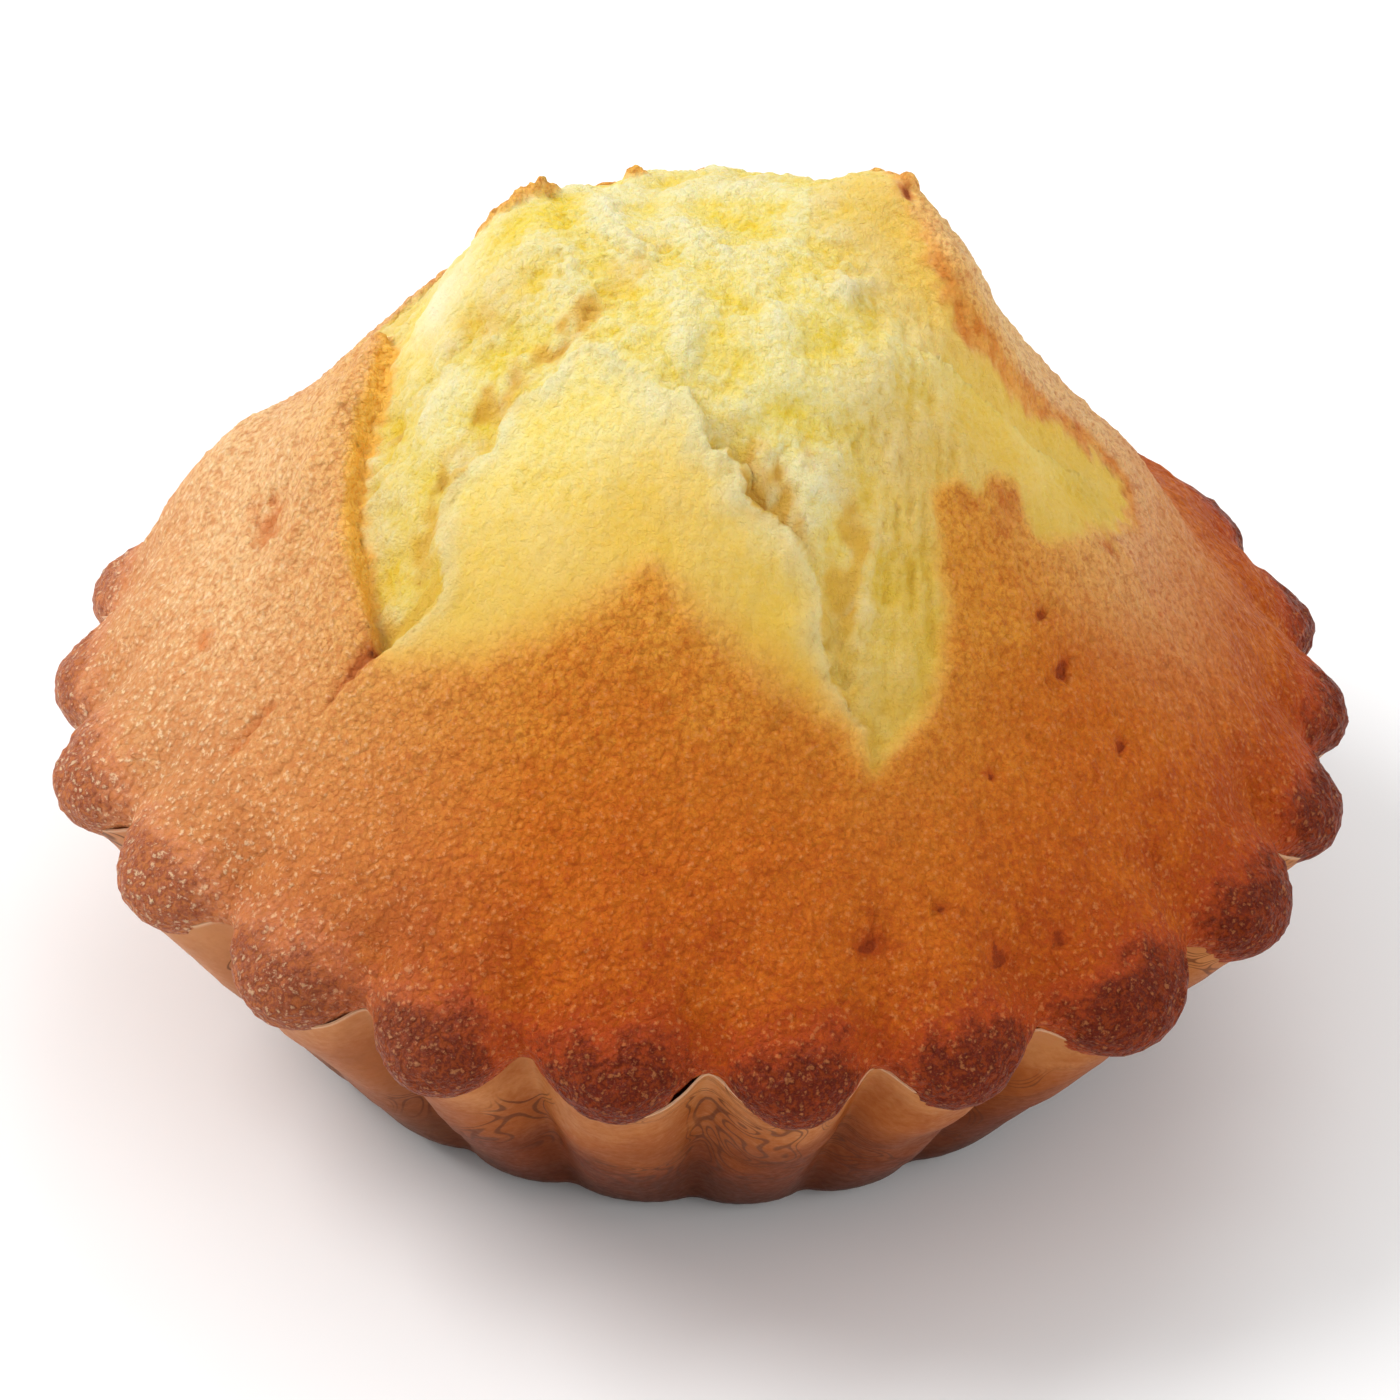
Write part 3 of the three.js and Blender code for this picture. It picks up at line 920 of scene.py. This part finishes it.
class BakedFinish(Finish):
    """Finish of the whole cake: crust, torn crumb, browned lips and scorched spots, with painted
    light from the left, painted sheen, highlights and shade.
    """

    def __init__(self):
        super().__init__(
            "baked_madeleine", Subsurface_Weight=0.25, Subsurface_Scale=0.001,
            Subsurface_Radius=(1.0, 0.55, 0.22), Specular_IOR_Level=0.1,
            Sheen_Weight=0.03, Sheen_Roughness=0.45, Sheen_Tint=(1.0, 0.75, 0.5, 1.0),
        )
        self.field = {name: self.attribute(name) for name in FIELDS}
        self.across, self.along, self.height = [self.position(axis) for axis in "XYZ"]
        # Painted light: share of the left side, where the colours below are painted paler as lit by
        # the key light from the left
        self.key_lit_left = (0 - self.across).between(8 * MM, 33 * MM)
        self.patches = self.grain(6.0, 3.0, 0.55)
        self.blotches = self.grain(1.7, 3.0, 0.6)
        self.pores = self.grain(0.8, 3.0, 0.65)
        self.curds = self.grain(0.5, 4.0, 0.7)
        self.speckle = self.grain(0.42, 2.0, 0.6)
        cells = {"Vector": self.place(), "Scale": 1 / (0.42 * MM)}
        self.granules = 1 - self.node("ShaderNodeTexVoronoi", {}, cells, "Distance")

    def golden_crust(self):
        """Orange-brown towards the rim, with painted light and sheen that make it paler on the left
        and on the right flank.
        """
        unevenness = (self.patches - 0.5) * 0.5 + (self.blotches - 0.5) * 0.35
        unevenness = unevenness + (self.speckle - 0.5) * 0.45
        baked = (1 - self.height.between(19 * MM, 56 * MM)) + unevenness
        crust = self.ramp(
            baked,
            (0.0, paint(240, 178, 76)), (0.3, paint(222, 146, 46)), (0.55, paint(204, 113, 25)),
            (0.8, paint(197, 98, 17)), (1.0, paint(170, 69, 9)),
        )
        # Painted sheen: a paler copy of the crust for where light and grazing sheen fall
        painted_sheen = self.ramp(
            baked,
            (0.0, paint(246, 218, 168)), (0.55, paint(242, 202, 148)), (1.0, paint(230, 172, 116)),
        )
        # Painted light from the left, less at the front
        front = (0 - self.along).between(10 * MM, 27 * MM)
        left_sheen = self.key_lit_left * (0.6 + 0.3 * self.height.between(22 * MM, 33 * MM)) * (1 - 0.5 * front)
        crust = self.mix(left_sheen, crust, painted_sheen)
        # Painted sheen on the right flank and beside the right lip, high on the dome
        flank = self.across.between(12 * MM, 27 * MM) * self.along.between(-17 * MM, -4 * MM)
        beside_lip = self.across.between(9 * MM, 15 * MM) * self.along.between(-3 * MM, 3 * MM)
        right_sheen = (flank + beside_lip).clamped() * (1 - self.along.between(4 * MM, 20 * MM))
        crust = self.mix(right_sheen * self.height.between(24 * MM, 40 * MM) * 0.6, crust, painted_sheen)
        return self.mix(self.field["near"] * 0.5, crust, paint(226, 162, 60))

    def grainy_crust(self):
        """The golden crust with burnt lobes, pale grains with painted glints, and dark pores with
        painted shade between the grains.
        """
        lobe = self.field["lobe"]
        burnt = lobe + (self.pores - 0.5) * 0.8 + (self.speckle - 0.5) * 0.7
        # The lobes' left colours are paler as painted light from the left
        reddened = self.mix(self.key_lit_left, paint(172, 66, 22), paint(216, 140, 94))
        scorched = self.mix(self.key_lit_left, paint(98, 28, 10), paint(160, 86, 56))
        crust = self.mix(burnt.between(0.0, 0.6), self.golden_crust(), reddened)
        crust = self.mix(burnt.between(0.35, 1.05), crust, scorched)
        # Painted glints: pale flecks on the grains, brighter on the left
        glints = self.grain(0.45, 3.0, 0.75) + (self.granules - 0.6) * 0.3
        glint_flecks = self.mix(self.key_lit_left, paint(226, 146, 84), paint(255, 226, 180))
        glint_amount = glints.between(0.52, 0.68) * (0.4 - 0.08 * lobe + 0.2 * self.key_lit_left)
        crust = self.mix(glint_amount, crust, glint_flecks)
        # Painted shade between the grains, partly real dark pores, paler on the left as painted light
        pore_shade_colour = self.mix(self.key_lit_left, paint(168, 72, 14), paint(206, 126, 66))
        pore_shade_amount = (1 - glints.between(0.34, 0.48)) * (0.35 + 0.2 * self.key_lit_left)
        return self.mix(pore_shade_amount, crust, pore_shade_colour)

    def soft_crumb(self):
        """Pale yellow crumb with painted light and shade: creamy painted highlight on its lumps,
        deeper yellow painted shade in its hollows and tears.
        """
        smooth = self.field["smooth"]
        # Painted shade and highlight: deeper yellow where the relief sinks, creamy where it rises,
        # with random tone from noise
        hollow_shade = (0 - self.field["relief"]).between(-0.9, 1.1)
        hollow_shade = hollow_shade + (self.curds - 0.5) * 0.9 + (self.patches - 0.5) * 0.7
        soft = self.ramp(
            hollow_shade,
            (0.0, paint(255, 245, 200)), (0.3, paint(254, 238, 170)), (0.55, paint(253, 228, 128)),
            (0.8, paint(252, 218, 74)), (1.0, paint(246, 196, 50)),
        )
        silky = self.ramp(
            self.patches + (self.curds - 0.5) * 0.9,
            (0.3, paint(252, 234, 150)), (0.7, paint(248, 216, 98)),
        )
        soft = self.mix(smooth * 0.7, soft, silky)
        # Painted shade: deeper ochre inside the tears
        soft = self.mix(self.field["tear_shade"].between(0.0, 1.0) * 0.85, soft, paint(233, 177, 62))
        soft = self.mix(self.field["near"] * 0.7, soft, paint(234, 184, 66))
        # Painted highlight: cream on the tongue's torn edge
        soft = self.mix(self.field["torn_edge_highlight"] * 0.6, soft, paint(250, 238, 186))
        # Painted highlight: the smooth crumb at the top left is painted near-white cream
        top_left_highlight = (0 - self.across).between(11 * MM, 16 * MM) * self.height.between(44 * MM, 47 * MM)
        soft = self.mix(smooth * top_left_highlight * 0.9, soft, paint(255, 241, 204))
        golden = (1 - self.height.between(36 * MM, 50 * MM)) * 0.36
        return self.mix(golden, soft, paint(228, 186, 70))

    def colour(self):
        """Crust and crumb, with the browned band along the lips, the scorched spots and painted shade
        in the crust's cracks.
        """
        colour = self.mix(self.field["crumb"], self.grainy_crust(), self.soft_crumb())
        toast = self.blotches.between(0.36, 0.64)
        toasted = self.mix(toast, paint(230, 158, 70), paint(212, 122, 42))
        band = self.mix(self.across.between(-10 * MM, 5 * MM), paint(250, 190, 78), toasted)
        colour = self.mix(self.field["lip"] * 0.85, colour, band)
        scorch_and_crease_shade = self.field["scorch_and_crease_shade"]
        scorch = (scorch_and_crease_shade + (self.pores - 0.5) * 0.6 * scorch_and_crease_shade).between(0.15, 0.9)
        # Scorch and crack shade colours, paler on the left as painted light
        burnt = self.mix(self.key_lit_left, paint(178, 72, 20), paint(216, 126, 62))
        colour = self.mix(scorch * 0.8, colour, burnt)
        return self.mix(scorch.between(0.75, 1.0) * (1 - self.key_lit_left) * 0.6, colour, paint(118, 38, 12))

    def roughness(self):
        return 0.6 - 0.15 * self.field["lobe"] + (self.pores - 0.5) * 0.5

    def fine_relief(self):
        """Grain that is too small for the mesh, on crust and crumb."""
        crumb = self.field["crumb"]
        fine = self.grain(0.22, 2.0, 0.7)
        crusty = (fine * 0.4 + self.pores + self.blotches + self.granules * 0.7) * (1 - crumb)
        crumbly = self.curds * 1.6 + self.blotches * 0.6
        return self.bump(crusty + crumbly * crumb * (1 - self.field["smooth"] * 0.35), 0.42)


def cake_finish():
    finish = BakedFinish()
    finish.feed("Base Color", finish.colour())
    finish.feed("Roughness", finish.roughness())
    finish.feed("Normal", finish.fine_relief())
    return finish.material


def paper_finish():
    """Brown greased paper, darker towards the bottom where fat soaked in and as painted shade, paler
    on the left as painted light, with curled lines printed in groups and a painted highlight along
    its top edge.
    """
    finish = Finish(
        "greased_paper", Specular_IOR_Level=0.05, Subsurface_Weight=0.15, Subsurface_Scale=0.001,
    )
    # Painted light: share of the paper's left side, towards the key light
    key_lit_left = (0 - finish.position("X")).between(8 * MM, 35 * MM)
    stains = finish.grain(6.0, 3.0, 0.55)
    fibres = finish.grain(0.5, 3.0, 0.6)
    # Darker towards the bottom: partly fat soaked in, partly painted shade low down near the floor
    soak_and_shade = 1 - finish.position("Z") / (RIM_HEIGHT * MM)
    soak_and_shade = soak_and_shade + (stains - 0.5) * 0.6 + (fibres - 0.5) * 0.25
    colour = finish.ramp(
        soak_and_shade,
        (0.0, paint(190, 122, 68)), (0.25, paint(156, 82, 30)), (0.6, paint(112, 48, 9)),
        (1.0, paint(62, 24, 3)),
    )
    # Painted light: the paper is paler on the left, towards the key light
    colour = finish.mix(key_lit_left * 0.55, colour, paint(204, 141, 98))
    curls = finish.grain(6.5, 0.0, distortion=1.4)
    groups = finish.grain(11.0, 0.0).between(0.42, 0.5)
    for level in (0.44, 0.5, 0.56):
        line = 1 - (curls - level).unsigned().between(0.005, 0.015)
        colour = finish.mix(line * groups * 0.7, colour, paint(84, 38, 14))
    # Painted highlight along the paper's top edge
    edge = finish.attribute("edge").between(0.5, 1.0)
    colour = finish.mix(edge * 0.7, colour, paint(226, 186, 152))
    finish.feed("Base Color", colour)
    finish.feed("Roughness", 0.42 + (fibres - 0.5) * 0.3)
    finish.feed("Normal", finish.bump(fibres, 0.05, 0.5))
    return finish.material


def dress(piece, material):
    piece.data.materials.clear()
    piece.data.materials.append(material)


# ---------------------------------------------------------------- camera, floor and light

def add_camera():
    """Looks down at the cake from the front, a little turned."""
    data = bpy.data.cameras.new("camera")
    camera = bpy.data.objects.new("camera", data)
    bpy.context.scene.collection.objects.link(camera)
    data.sensor_width = CAMERA_SENSOR
    data.lens = CAMERA_LENS
    data.shift_x, data.shift_y = CAMERA_SHIFT
    back = Vector((0, -math.cos(CAMERA_ELEVATION), math.sin(CAMERA_ELEVATION)))
    place = Matrix.Translation(Vector((0, 0, RIM_HEIGHT * MM)) + back * CAMERA_DISTANCE)
    tilt = Matrix.Rotation(math.pi / 2 - CAMERA_ELEVATION, 4, "X")
    camera.matrix_world = place @ tilt @ Matrix.Rotation(CAMERA_ROLL, 4, "Z")
    bpy.context.scene.camera = camera


def add_light(name, azimuth, elevation, distance, size, power):
    a, e = math.radians(azimuth), math.radians(elevation)
    away = Vector((math.sin(a) * math.cos(e), -math.cos(a) * math.cos(e), math.sin(e)))
    data = bpy.data.lights.new(name, "AREA")
    data.shape = "DISK"
    data.size = size
    data.energy = power
    light = bpy.data.objects.new(name, data)
    bpy.context.scene.collection.objects.link(light)
    light.location = away * distance + LIGHT_AIM
    light.rotation_euler = (-away).to_track_quat("-Z", "Y").to_euler()


def add_room():
    """Pale floor, white sky and three soft lights."""
    deselect_everything()
    bpy.ops.mesh.primitive_plane_add(size=FLOOR_SIZE, location=(0, 0, 0))
    floor = bpy.context.object
    floor.name = "floor"
    finish = Finish("pale_floor", Specular_IOR_Level=0.2, Roughness=0.8)
    finish.surface.inputs["Base Color"].default_value = FLOOR_COLOUR
    dress(floor, finish.material)
    world = bpy.data.worlds.new("studio")
    world.use_nodes = True
    world.node_tree.nodes["Background"].inputs["Color"].default_value = (1, 1, 1, 1)
    world.node_tree.nodes["Background"].inputs["Strength"].default_value = SKY_STRENGTH
    bpy.context.scene.world = world
    bpy.context.scene.view_settings.view_transform = "Standard"
    for light in LIGHTS:
        add_light(*light)


random.seed(8)
cake = make_cake()
case = make_case()
dress(cake, cake_finish())
dress(case, paper_finish())
add_camera()
add_room()
